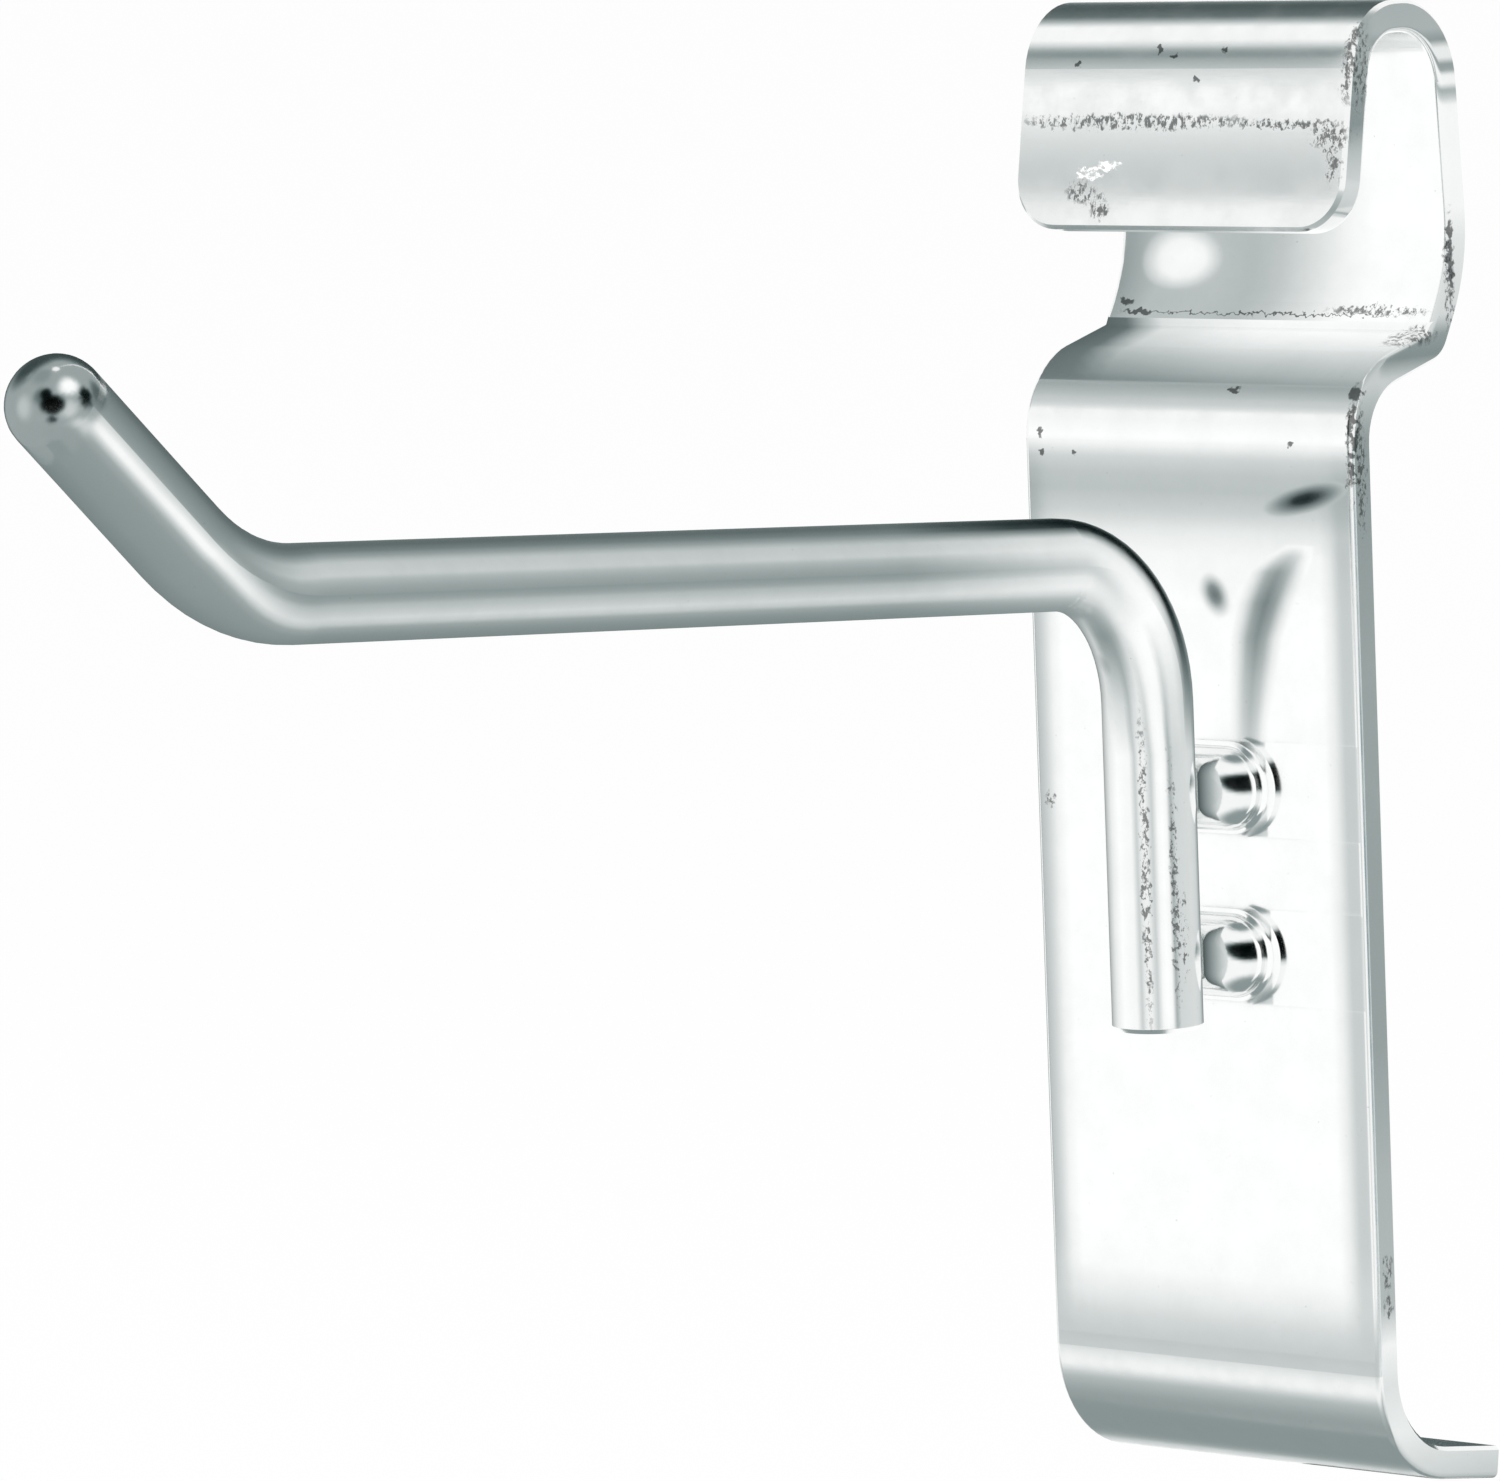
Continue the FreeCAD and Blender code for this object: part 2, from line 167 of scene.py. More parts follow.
def card(name, rows, cool=0.0):
    """A studio card that only mirror-like surfaces see.

    rows holds lists of corners, each corner a place and its tone.
    """
    places = [place for row in rows for place, _ in row]
    tones = [tone for row in rows for _, tone in row]
    wide = len(rows[0])
    faces = [(a + b, a + b + 1, a + b + 1 + wide, a + b + wide)
             for a in range(0, wide * (len(rows) - 1), wide) for b in range(wide - 1)]
    mesh = bpy.data.meshes.new(name)
    mesh.from_pydata(places, [], faces)
    layer = mesh.color_attributes.new("tone", "FLOAT_COLOR", "POINT")
    for item, tone in zip(layer.data, tones):
        item.color = shade(tone, cool)
    mesh.materials.append(card_paint())
    made = bpy.data.objects.new(name, mesh)
    bpy.context.scene.collection.objects.link(made)
    made.visible_camera = False
    made.visible_diffuse = False
    made.visible_shadow = False
    made.visible_transmission = False


def between(stops, at):
    """The tone at a place on a scale, on a straight line between its stops."""
    for (low, first), (high, second) in zip(stops, stops[1:]):
        if at <= high:
            return first + (second - first) * max(0, (at - low) / (high - low))
    return stops[-1][1]


def eased(share):
    """A share from 0 to 1 with soft ends."""
    return share * share * (3 - 2 * share)


def curtain(name, y, left, right, stops, slant=0.0):
    """An upright card across the front, graded by height, in millimetres.

    Above z = 0 its right edge leans to the left by the slant.
    """
    card(name, [[(mm(x, y, z), tone) for x in (left, right - slant * max(z, 0))] for z, tone in stops])


def louvre(name, z, left, right, stops):
    """A level card, graded from front to back, in millimetres."""
    card(name, [[(mm(x, y, z), tone) for x in (left, right)] for y, tone in stops])


# A hoop's corners: steps along it in degrees, its height above the floor in metres, and
# across it the share of its half width with the share of its tone.
HOOP_STEP = 3.0
HOOP_CLEAR = 0.004
HOOP_RIMS = ((-1, 0), (-0.7, 1), (0.7, 1), (1, 0))


def hoop(name, centre, axis, polar, spread, radius, stops, cool=0.0):
    """Part of a conical hoop round an axis, graded by the turn about it from the front.

    It stays above the floor, and it melts into the white room at its rims.
    """
    axis = Vector(axis)
    side = axis.cross(FRONT)
    first, last = stops[0][0], stops[-1][0]
    count = int((last - first) / HOOP_STEP)
    rows = []
    for number in range(count + 1):
        at = first + (last - first) * number / count
        turn = math.radians(at)
        tone = between(stops, at)
        outward = FRONT * math.cos(turn) + side * math.sin(turn)
        row = []
        for off, share in HOOP_RIMS:
            angle = math.radians(polar + off * spread)
            heading = axis * math.cos(angle) + outward * math.sin(angle)
            reach = radius
            if heading.z < 0:
                reach = min(radius, (FLOOR_Z + HOOP_CLEAR - centre.z) / heading.z)
            row.append((centre + heading * reach, 1 + (tone - 1) * share))
        rows.append(row)
    card(name, rows, cool)


# A spot's corners: how many there are round it, and the reach of its middle ring.
SPOT_CORNERS = 32
SPOT_MIDDLE = 0.001


def spot(name, place, across, upward, stops):
    """A round or oval card, graded from its middle outwards."""
    rows = []
    for reach, tone in stops:
        ring = []
        for number in range(SPOT_CORNERS + 1):
            turn = math.tau * number / SPOT_CORNERS
            off = across * math.cos(turn) + upward * math.sin(turn)
            ring.append((place + off * max(reach, SPOT_MIDDLE), tone))
        rows.append(ring)
    card(name, rows)


def facing_spot(name, origin, azimuth, elevation, distance, wide, high, stops):
    """A spot in a direction from a place, its half sizes given in degrees."""
    heading = towards(azimuth, elevation)
    across = Vector((0, 0, 1)).cross(heading).normalized()
    upward = heading.cross(across)
    spot(name, origin + heading * distance, across * distance * math.tan(math.radians(wide)),
         upward * distance * math.tan(math.radians(high)), stops)


def mirrored(place, normal, reach):
    """Where the camera, looking at this place in the plating, looks to, at this reach."""
    sight = (place - EYE).normalized()
    normal = normal.normalized()
    return place + (sight - normal * 2 * sight.dot(normal)) * reach


def lining(name, profile, columns, reach):
    """A card close to the strip along a profile (y, z), in millimetres.

    columns holds a place across, its tone at the start of the profile and its tone at the end.
    """
    rows = []
    end = len(profile) - 1
    for number, (y, z) in enumerate(profile):
        before, after = profile[max(number - 1, 0)], profile[min(number + 1, end)]
        normal = Vector((0, after[1] - before[1], before[0] - after[0]))
        rows.append([(mirrored(mm(x, y, z), normal, reach * MM), tone + (last - tone) * number / end)
                     for x, tone, last in columns])
    card(name, rows)


def veil(name, columns, stops, y=-7.9):
    """An upright card close to the plate, in millimetres.

    stops holds a height, a tone and how much of the darkening of the columns counts there.
    """
    reach = (PLATE_FACE - y) * MM / SQUARENESS
    card(name, [[(mirrored(mm(x, PLATE_FACE, z), FRONT, reach), tone * (1 + (share - 1) * edge))
                 for x, share in columns] for z, tone, edge in stops])


def before_veil(x, z):
    """Where a card has to be, to be seen at this place on the plate."""
    return mm(x - SEEN_BESIDE, SMUDGE_Y, z - SEEN_BELOW)


# Across a trail: the share of its half width with the share of its depth.
TRAIL_RIMS = ((-1, 0), (-0.7, 0.2), (-0.35, 0.75), (0, 1), (0.35, 0.75), (0.7, 0.2), (1, 0))


def trail(name, path):
    """A soft grey trail in front of a veil: places x, z with half width and depth, in millimetres."""
    card(name, [[(before_veil(x + off * half, z), 1 - depth * share) for off, share in TRAIL_RIMS]
                for x, z, half, depth in path])


def smudge(name, x, z, long, wide, tilt, stops):
    """A soft dark patch in front of a veil, in millimetres and degrees."""
    turn = math.radians(tilt)
    spot(name, before_veil(x, z), mm(math.cos(turn), 0, math.sin(turn)) * long,
         mm(-math.sin(turn), 0, math.cos(turn)) * wide, stops)


# The tones round the wire, at five places: turns from the side that faces the camera,
# positive on the outer side of the bend, and tones.
WIRE_BANDS = {
    "leg": [(88, 0.34), (76, 0.66), (68, 0.82), (56, 0.86), (46, 0.85), (38, 0.84), (31, 0.83),
            (25, 0.66), (20, 0.97), (14, 1.0), (8, 0.98), (1, 0.80), (-7, 0.95), (-14, 0.93),
            (-19, 0.80), (-26, 0.97), (-45, 1.0), (-60, 0.92), (-88, 0.40)],
    "bend": [(88, 0.85), (76, 0.42), (68, 0.04), (60, 0.08), (51, 0.80), (40, 1.0), (28, 1.0),
             (18, 1.0), (8, 1.0), (1, 0.99), (-7, 0.97), (-14, 0.93), (-20, 0.84), (-27, 0.68),
             (-34, 0.60), (-42, 0.57), (-52, 0.60), (-64, 0.80), (-88, 0.45)],
    "start": [(88, 0.45), (75, 0.14), (63, 0.06), (53, 0.15), (45, 0.55), (35, 0.88), (19, 0.93),
              (9, 0.90), (1, 0.82), (-4, 0.78), (-9, 0.82), (-16, 0.92), (-27, 0.95), (-32, 0.93),
              (-40, 0.84), (-47, 0.74), (-54, 0.68), (-64, 0.62), (-88, 0.55)],
    "arm": [(88, 0.50), (75, 0.42), (65, 0.41), (53, 0.49), (44, 0.62), (35, 0.77), (19, 0.80),
            (13, 0.71), (1, 0.61), (-4, 0.56), (-10, 0.60), (-16, 0.72), (-27, 0.80), (-32, 0.84),
            (-40, 0.77), (-45, 0.64), (-54, 0.58), (-64, 0.55), (-88, 0.50)],
    "upturn": [(88, 0.38), (75, 0.41), (65, 0.45), (58, 0.50), (52, 0.53), (47, 0.55), (42, 0.57),
               (38, 0.585), (35.5, 0.60), (33, 0.68), (29.7, 0.78), (24, 0.90), (20.7, 0.97),
               (15.3, 0.97), (10, 0.82), (4.3, 0.655), (-5, 0.60), (-40, 0.575), (-88, 0.48)]}

# The wire's axis, in millimetres: straight stretches and the bends between them.
WIRE_RADIUS = 2.8
BEND_RADIUS, UPTURN_RADIUS = 9.2, 14
UPRIGHT, RISE, UPTURN_RISE = math.pi / 2, math.radians(3.95), math.radians(42.3)
LEG_LINE = (Vector((0, -10.85, -56.3)), Vector((0, -10.85, -36.6)))
ARM_LINE = (Vector((0, -19.5, -27.4)), Vector((0, -85.4, -22.85)))
UPTURN_LINE = (Vector((0, -94.5, -18.85)), Vector((0, -102.6, -11.5)))

# How far the wire's card is from the leg and from the arm, in millimetres.
LEG_REACH, ARM_REACH = 0.9, 4.5
# Share of the bend's tones at the top of the leg.
BEND_BEGUN = 0.3


def below(slope):
    """The direction square to the wire and under it, where it rises at this slope."""
    return Vector((0, -math.sin(slope), -math.cos(slope)))


def turned(first, last, slope, slope_after, radius, count):
    """Places along an arc of the wire's axis between two places: share, place, slope."""
    reach = radius if slope_after > slope else -radius
    centre = ((first - below(slope) * reach) + (last - below(slope_after) * reach)) / 2
    made = []
    for number in range(1, count):
        share = number / count
        angle = slope + (slope_after - slope) * share
        made.append((share, centre + below(angle) * reach, angle))
    return made


def wire_stations():
    """Along the wire's axis: place, slope, two sets of bands, share of the second, reach."""
    foot, top = LEG_LINE
    start, end = ARM_LINE
    upturn, tip = UPTURN_LINE
    made = [(foot.lerp(top, share), UPRIGHT, "leg", "leg", 0, LEG_REACH) for share in (0, 0.5, 0.85)]
    made.append((top, UPRIGHT, "leg", "bend", BEND_BEGUN, LEG_REACH))
    for share, place, slope in turned(top, start, UPRIGHT, RISE, BEND_RADIUS, 10):
        reach = LEG_REACH + (ARM_REACH - LEG_REACH) * share * share
        if share < 0.5:
            bent = BEND_BEGUN + 2 * (1 - BEND_BEGUN) * share
            made.append((place, slope, "leg", "bend", bent, reach))
        else:
            made.append((place, slope, "bend", "start", 2 * share - 1, reach))
    for number in range(13):
        share = number / 12
        made.append((start.lerp(end, share), RISE, "start", "arm", min(1, share * 4), ARM_REACH))
    for share, place, slope in turned(end, upturn, RISE, UPTURN_RISE, UPTURN_RADIUS, 12):
        made.append((place, slope, "arm", "upturn", eased(share), ARM_REACH))
    for number in range(4):
        made.append((upturn.lerp(tip, number / 3), UPTURN_RISE, "upturn", "upturn", 0, ARM_REACH))
    return made


def wire_card():
    rows = []
    for place, slope, before, after, share, reach in wire_stations():
        along = Vector((0, -math.cos(slope), math.sin(slope)))
        facing = (EYE - place * MM).normalized()
        facing = (facing - along * facing.dot(along)).normalized()
        outward = along.cross(facing)
        row = []
        for (turn, tone), (turn_after, tone_after) in zip(WIRE_BANDS[before], WIRE_BANDS[after]):
            turn = math.radians(turn + (turn_after - turn) * share)
            normal = facing * math.cos(turn) + outward * math.sin(turn)
            row.append((mirrored((place + normal * WIRE_RADIUS) * MM, normal, reach * MM),
                        tone + (tone_after - tone) * share))
        rows.append(row)
    card("wire_card", rows)


# What the ball and the ends of the ribs see: turn and height of a patch, its half sizes in
# degrees, tone and softness, with the tone of the rest.
BALL_PATCHES = [
    (-105, 42, 62, 34, 0.27, 0.7), (-25, 66, 60, 26, 0.56, 0.7), (-30, 2, 28, 32, 0.76, 0.8),
    (-150, 4, 56, 66, 0.27, 0.6), (70, -4, 30, 26, 0.80, 0.7), (80, 44, 44, 28, 1.0, 0.7),
    (6, 26, 22, 24, 0.42, 0.8), (150, 12, 24, 26, 0.38, 0.7), (118, -34, 60, 20, 0.86, 0.8),
    (36, 8, 33, 25, 0.0, 0.4), (20, 30, 18, 16, 0.02, 0.5), (34, -24, 15, 11, 0.2, 0.6),
    (114, 14, 22, 25, 0.03, 0.6), (60, -56, 90, 22, 0.62, 0.6)]
BALL_BASE = 0.63
RIB_PATCHES = [
    (80, -62, 120, 34, 0.58, 0.5), (60, 70, 90, 18, 0.55, 0.6), (70, 15, 90, 23, 0.02, 0.45)]
RIB_BASE = 0.97

# Reach of the round shells in metres, the height of each rib in millimetres, and the cosine
# and sine of the angle at which a shell is open round the wire.
BALL_REACH, RIB_REACH = 0.030, 0.0031
RIB_HEIGHTS = (-42.2, -52.5)
OPEN_COSINE, OPEN_SINE = 0.56, 0.828


def shell(name, centre, radius, patches, base, azimuths, elevations, stem=None):
    """Part of a round shell, toned by soft patches, open where a stem goes through it."""
    rows = []
    for elevation in range(*elevations):
        row = []
        for azimuth in range(*azimuths):
            tone = base
            for at, high, wide, tall, patch, soft in patches:
                off = math.hypot((azimuth - at) / wide, (elevation - high) / tall)
                tone += (patch - tone) * eased(min(1, max(0, (1 - off) / soft)))
            heading = towards(azimuth, elevation)
            if stem and heading.dot(stem) > OPEN_COSINE:
                aside = (heading - stem * heading.dot(stem)).normalized()
                heading = aside * OPEN_SINE + stem * OPEN_COSINE
            row.append((centre + heading * radius, tone))
        rows.append(row)
    card(name, rows)


def make_front_cards():
    """Close in front of the strip: for the lip, the shoulder, the plate's top and the foot."""
    curtain("lip_card", -24, -60, -1,
            [(-1.8, 0.745), (0.5, 0.80), (2.0, 0.865), (2.7, 0.885), (3.3, 0.95), (3.9, 1.0),
             (5.6, 1.0), (5.85, 0.90), (6.15, 0.85), (6.6, 0.80), (7.6, 0.81), (9.9, 0.745),
             (12.6, 0.66), (15.4, 0.57), (18.8, 0.57), (22.6, 0.68), (27.3, 0.835), (34, 0.93),
             (41, 1.0)], slant=0.2)
    louvre("shoulder_card", -9, -50, 40,
           [(-23, 1.0), (-19.7, 0.88), (-16.6, 0.80), (-14.4, 0.79), (-12, 0.73), (-9.6, 0.675),
            (-8.4, 0.635), (-7.5, 0.70), (-7.0, 0.74)])
    curtain("foot_card", -26.3, -60, 60,
            [(-165, 0.65), (-146, 0.63), (-130, 0.615), (-118, 0.62), (-110, 0.65), (-104, 0.685),
             (-99, 0.71), (-95.5, 0.80), (-93, 0.90), (-91, 0.955), (-87.5, 0.96), (-86, 0.92),
             (-84, 0.84), (-82.6, 0.80), (-81.5, 0.76), (-80.2, 0.75), (-79.2, 0.78),
             (-78.4, 0.86), (-77.8, 0.94), (-77.2, 0.985), (-76.3, 1.0)])


def make_neck_cards():
    """Over the lip and behind the loop, then close to the neck and the heel."""
    hoop("top_card", LIP, (-1, 0, 0), 51.9, 11, 1.2,
         [(84, 1.0), (91, 0.86), (97, 0.70), (102, 0.58), (107, 0.43), (119, 0.39), (136, 0.34),
          (150, 0.36), (160, 0.45), (172, 0.7)])
    across = [(-15.1, 0.58), (-13.6, 0.66), (-11.8, 0.74), (-7.2, 0.76), (-4.4, 0.735),
              (-2.2, 0.775), (0.2, 0.87), (2.5, 0.95), (4.7, 1.0), (12.4, 1.0)]
    card("neck_card", [[(mm(x, 1.0, z), tone) for x, tone in across] for z in (-13.5, 3.2)])
    spot("neck_spot", mm(-8.6, 2.55, -10.2), mm(3.2, 0, 0), mm(0, 0.25, 1.6),
         [(0, 1.0), (0.55, 0.97), (0.8, 0.86), (1, 0.76)])
    lining("heel_card",
           [(1.7, -14.75), (-0.9, -15.4), (-2.8, -15.95), (-3.9, -16.4), (-4.7, -17.0), (-5.15, -17.5)],
           [(-12.9, 0.36, 0.48), (-10.2, 0.44, 0.49), (-8.8, 0.72, 0.50), (-7.4, 0.90, 0.52),
            (-3, 0.96, 0.56), (1, 1.0, 0.60), (13.5, 1.0, 0.66)], 1.4)


def make_plate_cards():
    """Close to the plate, so that it stays white behind the leg, with soft smudges."""
    top = [(-19.0, 0.97, 0), (-20.6, 1.0, 0), (-21.3, 0.96, 0.1), (-22.1, 0.83, 0.2),
           (-23.1, 0.77, 0.3), (-24.1, 0.76, 0.4), (-25.4, 0.82, 0.6), (-26.6, 0.92, 0.8),
           (-28, 0.97, 1), (-31, 1.0, 1), (-39.3, 1.0, 1)]
    first_rib = [(-39.3, 1.0, 1), (-45.1, 1.0, 1)]
    middle = [(-45.1, 1.0, 1), (-49.6, 1.0, 1)]
    second_rib = [(-49.6, 1.0, 1), (-55.4, 1.0, 1)]
    bottom = [(-55.4, 1.0, 1), (-70, 1.0, 1), (-72.5, 0.985, 0.8), (-74.2, 0.92, 0.5),
              (-75.6, 0.84, 0.2), (-76.9, 0.79, 0)]
    left = [(-13.4, 0.62), (-12.5, 0.72), (-11.8, 0.82), (-11.0, 0.96), (-10.2, 1.0)]
    right = [(10.0, 1.0), (10.8, 0.93), (11.5, 0.80), (12.2, 0.80), (12.9, 0.90)]
    left_of_rib = left + [(-6.5, 1.0)]
    right_of_rib = [(5.4, 1.0)] + right
    veil("veil_top", left + right, top)
    veil("veil_first_rib_left", left_of_rib, first_rib)
    veil("veil_first_rib_right", right_of_rib, first_rib, y=-6.9)
    veil("veil_middle", left + right, middle)
    veil("veil_second_rib_left", left_of_rib, second_rib)
    veil("veil_second_rib_right", right_of_rib, second_rib, y=-6.9)
    veil("veil_bottom", left + right, bottom)
    smudge("smudge_streak", 9.1, -24.35, 3.3, 0.85, 13, [(0, 0.10), (0.3, 0.2), (0.65, 0.55), (1, 0.775)])
    smudge("smudge_left", 1.9, -30.4, 1.6, 1.1, -58, [(0, 0.40), (0.35, 0.52), (0.7, 0.85), (1, 1.0)])
    trail("smudge_trail",
          [(8.6, -27.2, 1.0, 0.0), (7.8, -27.9, 1.7, 0.2), (6.8, -28.9, 2.2, 0.42),
           (5.8, -30.8, 2.2, 0.50), (5.0, -33.0, 2.0, 0.44), (4.6, -35.6, 1.8, 0.32),
           (4.3, -38.0, 1.5, 0.26), (4.2, -39.3, 1.4, 0.22)])


def make_side_cards():
    """Beside the strip, seen in its sheared side, and behind the foot, seen in its upper side."""
    back = [(9, 0.66), (3.4, 0.70), (2.7, 0.58), (2.2, 0.92), (1.6, 0.92), (1.2, 0.60), (0.8, 0.64),
            (0.5, 0.96), (0, 0.96), (-0.4, 0.66), (-0.9, 0.80), (-1.3, 0.97), (-7.5, 0.97),
            (-9.5, 0.90), (-14, 0.85), (-15.2, 0.6), (-16.4, 0.55), (-17.6, 0.8), (-19, 0.8)]
    front = [(2.6, 0.66), (0, 0.60), (-2, 0.56), (-3.6, 0.74), (-6, 0.84), (-8, 0.82), (-14, 0.72),
             (-17.6, 0.80), (-19, 0.72), (-21, 0.6), (-24, 0.6), (-36, 0.63), (-58, 0.62),
             (-66, 0.70), (-74, 0.72), (-76.5, 0.95)]
    top = [(9, 0.66), (2.6, 0.66)]
    foot = [(-76.5, 0.95), (-79, 0.88), (-82, 0.93), (-84, 0.86), (-86.5, 0.78), (-95, 0.66)]
    for name, near, far, stops in (("side_card_back", -0.9, 9.5, back),
                                   ("side_card_front", -5.2, -0.9, front),
                                   ("side_card_top", -5.2, -0.9, top),
                                   ("side_card_foot", -5.2, 10, foot)):
        card(name, [[(mm(SIDE_X, y, z), tone) for y in (near, far)] for z, tone in stops])
    curtain("toe_card", 12, -8, 12, [(-92, 0.34), (-79, 0.38)])


def make_wire_cards():
    """Round the wire from the leg to the ball, and round the ball and the ends of the ribs."""
    wire_card()
    stem = Vector((0, math.cos(UPTURN_RISE), -math.sin(UPTURN_RISE)))
    for name, azimuths in (("ball_card_left", (-178, 5, 4)), ("ball_card_right", (2, 181, 4))):
        shell(name, BALL, BALL_REACH, BALL_PATCHES, BALL_BASE, azimuths, (-72, 88, 4), stem)
    for number, z in enumerate(RIB_HEIGHTS):
        shell("rib_card_%d" % (number + 1), mm(3.0, -6.6, z), RIB_REACH, RIB_PATCHES, RIB_BASE,
              (-10, 99, 6), (-80, 84, 5))


def make_room_cards():
    """Just below level round the leg, with a black flag in front and a card on the floor."""
    hoop("leg_left_card", LEG, (0, 0, 1), 97, 5, 0.9,
         [(-130, 1.0), (-125, 0.75), (-119, 0.70), (-102, 0.67), (-92, 0.72), (-85, 0.83),
          (-79, 0.92), (-72, 1.0)])
    hoop("leg_front_card", LEG, (0, 0, 1), 97, 5, 0.9,
         [(-8, 1.0), (1, 0.93), (7, 0.85), (14, 0.80), (22, 0.84), (30, 0.93), (36, 1.0)])
    hoop("leg_right_card", LEG, (0, 0, 1), 97, 5, 0.9,
         [(57, 1.0), (60, 0.9), (64, 0.66), (70, 0.53), (76, 0.56), (87, 0.61), (93, 0.68),
          (99, 0.76), (104, 0.80), (116, 0.84), (125, 0.86), (132, 0.93)], cool=0.02)
    facing_spot("front_flag", RIBS, -18, 34, 0.9, 9, 24, [(0, 0.0), (0.7, 0.01), (0.85, 0.35), (1, 1.0)])
    # The floor under the hook looks grey-green in the plating.
    spot("floor_card", Vector((-0.03, -0.03, FLOOR_Z + 0.003)), Vector((0.36, 0.05, 0)),
         Vector((-0.03, 0.27, 0)),
         [(0, 0.58), (0.55, 0.575), (0.72, 0.62), (0.88, 0.78), (1.0, 0.84), (1.5, 0.88), (2.2, 1.0)])


def make_lamps():
    for name, place, energy, size in (("key", (0.6, -1.2, 1.2), 14, 0.9),
                                      ("fill", (-1.2, -0.6, 0.9), 8, 1.0)):
        light = bpy.data.lights.new(name, "AREA")
        light.energy = energy
        light.size = size
        lamp = bpy.data.objects.new(name, light)
        lamp.location = place
        lamp.rotation_euler = (AIM - Vector(place)).to_track_quat("-Z", "Y").to_euler()
        lamp.visible_glossy = False
        bpy.context.scene.collection.objects.link(lamp)


def ramp(tree, value, low, high, first=0.0, second=1.0):
    """A value from first to second with soft ends, as another goes from low to high."""
    made = node(tree, "MapRange", Value=value)
    made.interpolation_type = "SMOOTHSTEP"
    for name, number in (("From Min", low), ("From Max", high), ("To Min", first), ("To Max", second)):
        made.inputs[name].default_value = number
    return made.outputs["Result"]


def noise(tree, place, scale, detail, rough, stretch=None):
    if stretch:
        place = vector_maths(tree, "MULTIPLY", place, stretch)
    return node(tree, "TexNoise", Vector=place, Scale=scale, Detail=detail, Roughness=rough).outputs["Fac"]


def marks(tree, place, spots):
    """1 inside any of these places on the surface, each a middle and half sizes in millimetres."""
    found = None
    for middle, half in spots:
        off = vector_maths(tree, "SUBTRACT", place, middle)
        off = vector_maths(tree, "MULTIPLY", off, [1 / size for size in half])
        inside = ramp(tree, vector_maths(tree, "LENGTH", off), 0.7, 1.15, 1.0, 0.0)
        found = inside if found is None else maths(tree, "MAXIMUM", found, inside)
    return found


def tinted(tree, colour, share, tint):
    """A colour with a share of another mixed in."""
    mix = tree.nodes.new("ShaderNodeMix")
    mix.data_type = "RGBA"
    for number, value in ((0, share), (6, colour), (7, tint)):
        connect(tree, mix, "i%d" % number, value)
    return mix.outputs[2]


BRIGHT = (0.93, 0.94, 0.935, 1)
DARK = (0.03, 0.035, 0.035, 1)
GREY = (0.42, 0.46, 0.45, 1)

# Marks on the plating, as middles and half sizes in millimetres: specks and speckled lines, dark spots and
# lines, rubbed places and grey patches. One dark line, across the heel of the neck, is painted shade in
# its crease.
STRIP_SPECKLED = [
    ((-3.4, -5.7, -1.65), (9.6, 1.6, 0.50)), ((8.2, -5.7, -1.75), (4.4, 1.6, 0.28)),
    ((11.3, -5.8, -2.5), (1.5, 1.5, 0.9)), ((11.9, -5.9, -4.2), (0.6, 1.5, 1.4)),
    ((-7.4, -6.4, -5.9), (1.2, 1.6, 0.7)), ((-5.9, -6.6, -6.8), (0.8, 1.6, 0.8)),
    ((8.4, 2.6, -13.6), (4.0, 1.6, 0.30)), ((11.9, 0.6, -15.0), (1.3, 2.6, 0.7)),
    ((12.4, -4.4, 1.6), (0.45, 1.6, 3.2)), ((12.3, -5.8, -21.4), (0.2, 0.6, 4.2)),
    ((12.65, 4.0, -12.6), (0.3, 0.5, 4.0)), ((12.65, -5.4, -22.6), (0.3, 0.5, 4.2)),
    ((12.7, -5.3, -71.5), (0.3, 0.5, 1.2)), ((12.7, -5.3, -73.6), (0.3, 0.4, 0.8)),
    ((-11.6, -6.3, -43.5), (0.4, 0.6, 0.5))]
STRIP_DARK_MARKS_AND_CREASE_SHADE = [
    ((-2.1, -4.9, 2.75), (0.32, 1, 0.22)), ((-0.9, -4.9, 2.3), (0.28, 1, 0.2)),
    ((2.9, -4.9, 2.7), (0.26, 1, 0.2)), ((-8.4, -5.2, 1.8), (0.24, 1, 0.2)),
    ((1.0, -5.5, 0.9), (0.22, 1, 0.18)), ((-11.3, 2.7, -13.3), (0.55, 1, 0.22)),
    ((-10.2, 2.3, -13.9), (1.25, 1, 0.16)), ((3.1, -5.3, -17.95), (0.45, 1, 0.2)),
    ((-11.4, -6.3, -20.7), (0.18, 1, 0.32)), ((-11.3, -6.3, -21.9), (0.22, 1, 0.24)),
    ((-8.8, -6.3, -21.9), (0.2, 1, 0.2)), ((8.0, -6.3, -21.1), (0.22, 1, 0.2)),
    ((12.3, -5.1, -18.0), (0.35, 0.7, 0.6)), ((12.5, -5.9, -21.3), (0.2, 0.5, 3.9)),
    # The last mark is painted shade: a thin dark line along the crease at the heel of the neck.
    ((12.75, 4.1, -10.4), (0.2, 0.4, 3.2)), ((-0.5, 2.35, -13.9), (11, 1, 0.05))]
STRIP_LIGHT = [
    ((-6.9, -6.3, -4.9), (1.1, 1.2, 0.22)), ((-5.4, -6.2, -4.2), (0.9, 1.2, 0.22)),
    ((-6.2, -6.2, -4.5), (1.4, 1.2, 0.14))]
WIRE_SPECKLED = [
    ((1.36, -13.3, -46.5), (0.26, 0.5, 10.0)), ((2.56, -12.0, -47.0), (0.12, 0.4, 8.5)),
    ((2.75, -11.4, -50.5), (0.1, 0.3, 3.0))]
WIRE_GREY = [((-0.5, -13.5, -33.0), (0.9, 0.9, 1.7)), ((1.0, -13.4, -31.4), (0.8, 0.8, 1.6))]

# The grain of rolled strip and of drawn wire: noise scales along X, Y and Z.
ROLLED = (0.25, 1.6, 1.6)
DRAWN = (3.0, 0.35, 0.35)


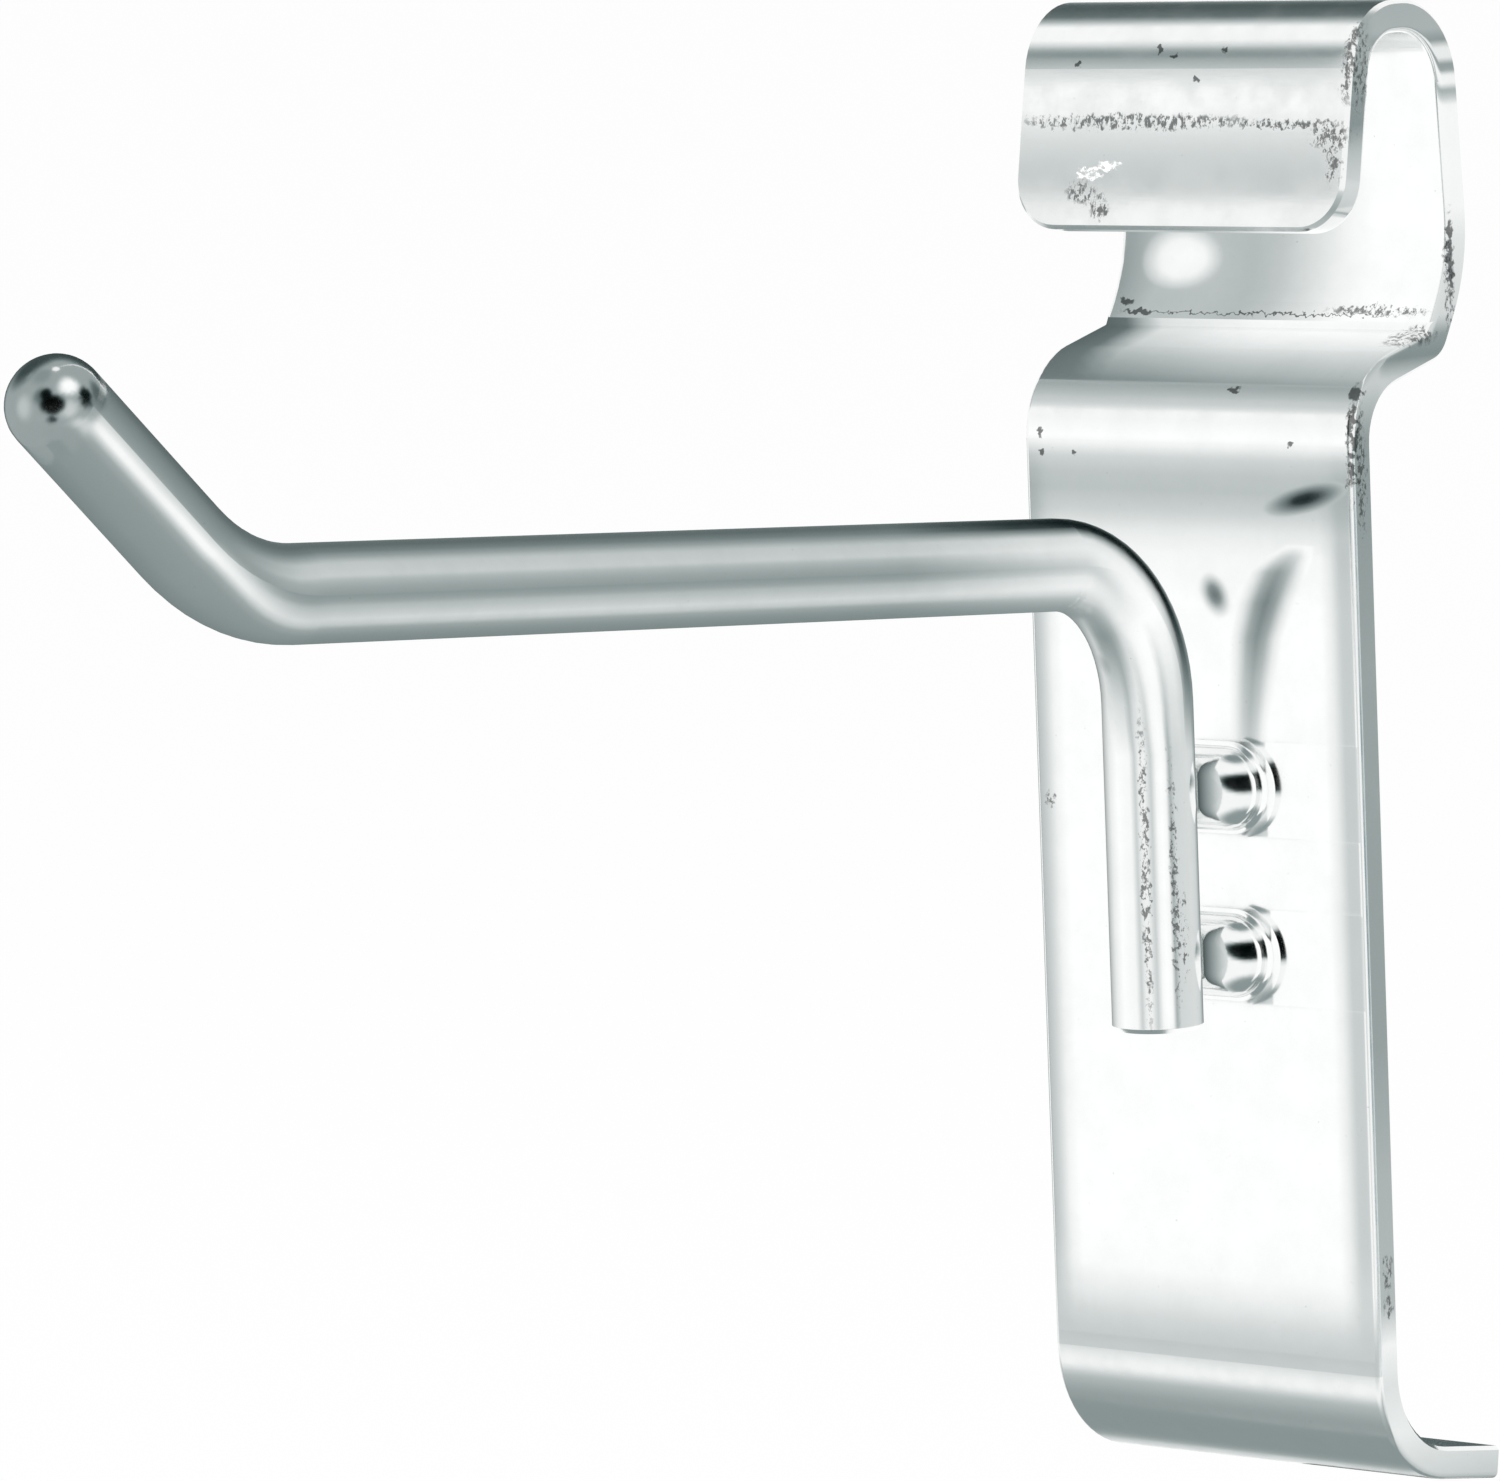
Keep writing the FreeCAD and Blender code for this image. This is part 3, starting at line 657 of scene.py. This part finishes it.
def plating(name, speckled, dark, light, grey, roughness, grain):
    """Bright zinc plating over drawn or rolled steel, with its pits, specks and rubbed marks, and the dark
    marks it is given, which on the strip include painted shade in the crease at the heel of the neck.
    """
    material = bpy.data.materials.new(name)
    material.use_nodes = True
    tree = material.node_tree
    shader = tree.nodes["Principled BSDF"]
    shader.inputs["Metallic"].default_value = 1.0
    place = vector_maths(tree, "SCALE", tree.nodes.new("ShaderNodeTexCoord").outputs["Object"], 1 / MM)
    cloud = noise(tree, place, 0.35, 3.0, 0.6)
    fine = noise(tree, place, 2.6, 4.0, 0.7)
    drawn = noise(tree, place, 1.0, 3.0, 0.6, grain)
    # Clouds, pits and greyer patches.
    pits = ramp(tree, noise(tree, place, 3.4, 2.0, 0.6), 0.74, 0.80)
    colour = tinted(tree, BRIGHT, ramp(tree, cloud, 0.30, 0.72, 0.0, 0.07), GREY)
    colour = tinted(tree, colour, maths(tree, "MULTIPLY", pits, 0.5), GREY)
    if grey:
        colour = tinted(tree, colour, maths(tree, "MULTIPLY", marks(tree, place, grey), 0.75), GREY)
    # Wear with ragged outlines: places wander before the marks are looked up.
    broken = ramp(tree, noise(tree, place, 3.0, 3.0, 0.75, (1, 1, 0.6)), 0.46, 0.57)
    wander = node(tree, "TexNoise", Vector=place, Scale=2.3, Detail=2.0).outputs["Color"]
    wander = vector_maths(tree, "SCALE", vector_maths(tree, "SUBTRACT", wander, (0.5, 0.5, 0.5)), 0.9)
    place = vector_maths(tree, "ADD", place, wander)
    worn = maths(tree, "MULTIPLY", marks(tree, place, speckled), broken)
    colour = tinted(tree, colour, maths(tree, "MULTIPLY", worn, 0.75), DARK)
    # Dark marks: on the strip they include painted shade, a thin dark line along the crease at the heel of
    # the neck.
    if dark:
        colour = tinted(tree, colour, maths(tree, "MULTIPLY", marks(tree, place, dark), 0.8), DARK)
    if light:
        rubbed = maths(tree, "MULTIPLY", marks(tree, place, light), ramp(tree, fine, 0.35, 0.55))
        colour = tinted(tree, colour, rubbed, WHITE)
        connect(tree, shader, "Metallic", maths(tree, "SUBTRACT", 1.0, rubbed))
    connect(tree, shader, "Base Color", colour)
    sheen = maths(tree, "ADD", ramp(tree, cloud, 0.3, 0.75, roughness - 0.03, roughness + 0.06),
                  maths(tree, "MULTIPLY", worn, 0.2))
    connect(tree, shader, "Roughness", sheen)
    # Relief: the grain and fine unevenness, with the worn places sunk.
    height = maths(tree, "ADD", maths(tree, "MULTIPLY", drawn, 0.6), maths(tree, "MULTIPLY", fine, 0.25))
    height = maths(tree, "SUBTRACT", height, maths(tree, "MULTIPLY", worn, 1.2))
    bump = node(tree, "Bump", Strength=0.10, Distance=0.03 * MM, Height=height)
    connect(tree, shader, "Normal", bump.outputs["Normal"])
    return material


def dress():
    # The strip's dark marks include painted shade in the crease at the heel of the neck.
    strip = plating("plated_strip", STRIP_SPECKLED, STRIP_DARK_MARKS_AND_CREASE_SHADE, STRIP_LIGHT, [], 0.15, ROLLED)
    wire = plating("plated_wire", WIRE_SPECKLED, [], [], WIRE_GREY, 0.155, DRAWN)
    for name, material in (("back_plate", strip), ("hook_wire", wire)):
        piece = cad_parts[name]
        piece.data.materials.clear()
        piece.data.materials.append(material)


def make_camera():
    data = bpy.data.cameras.new("camera")
    data.sensor_width = SENSOR
    data.lens = LENS
    data.clip_start = 0.01
    data.clip_end = 100.0
    camera = bpy.data.objects.new("camera", data)
    roll = Matrix.Rotation(math.radians(ROLL), 3, "Z")
    turn = (-TO_CAMERA).to_track_quat("-Z", "Y").to_matrix() @ roll
    camera.matrix_world = Matrix.Translation(EYE) @ turn.to_4x4()
    bpy.context.scene.collection.objects.link(camera)
    bpy.context.scene.camera = camera


make_world()
make_floor()
make_front_cards()
make_neck_cards()
make_plate_cards()
make_side_cards()
make_wire_cards()
make_room_cards()
make_lamps()
dress()
make_camera()
bpy.context.scene.view_settings.view_transform = "Standard"
bpy.context.view_layer.update()
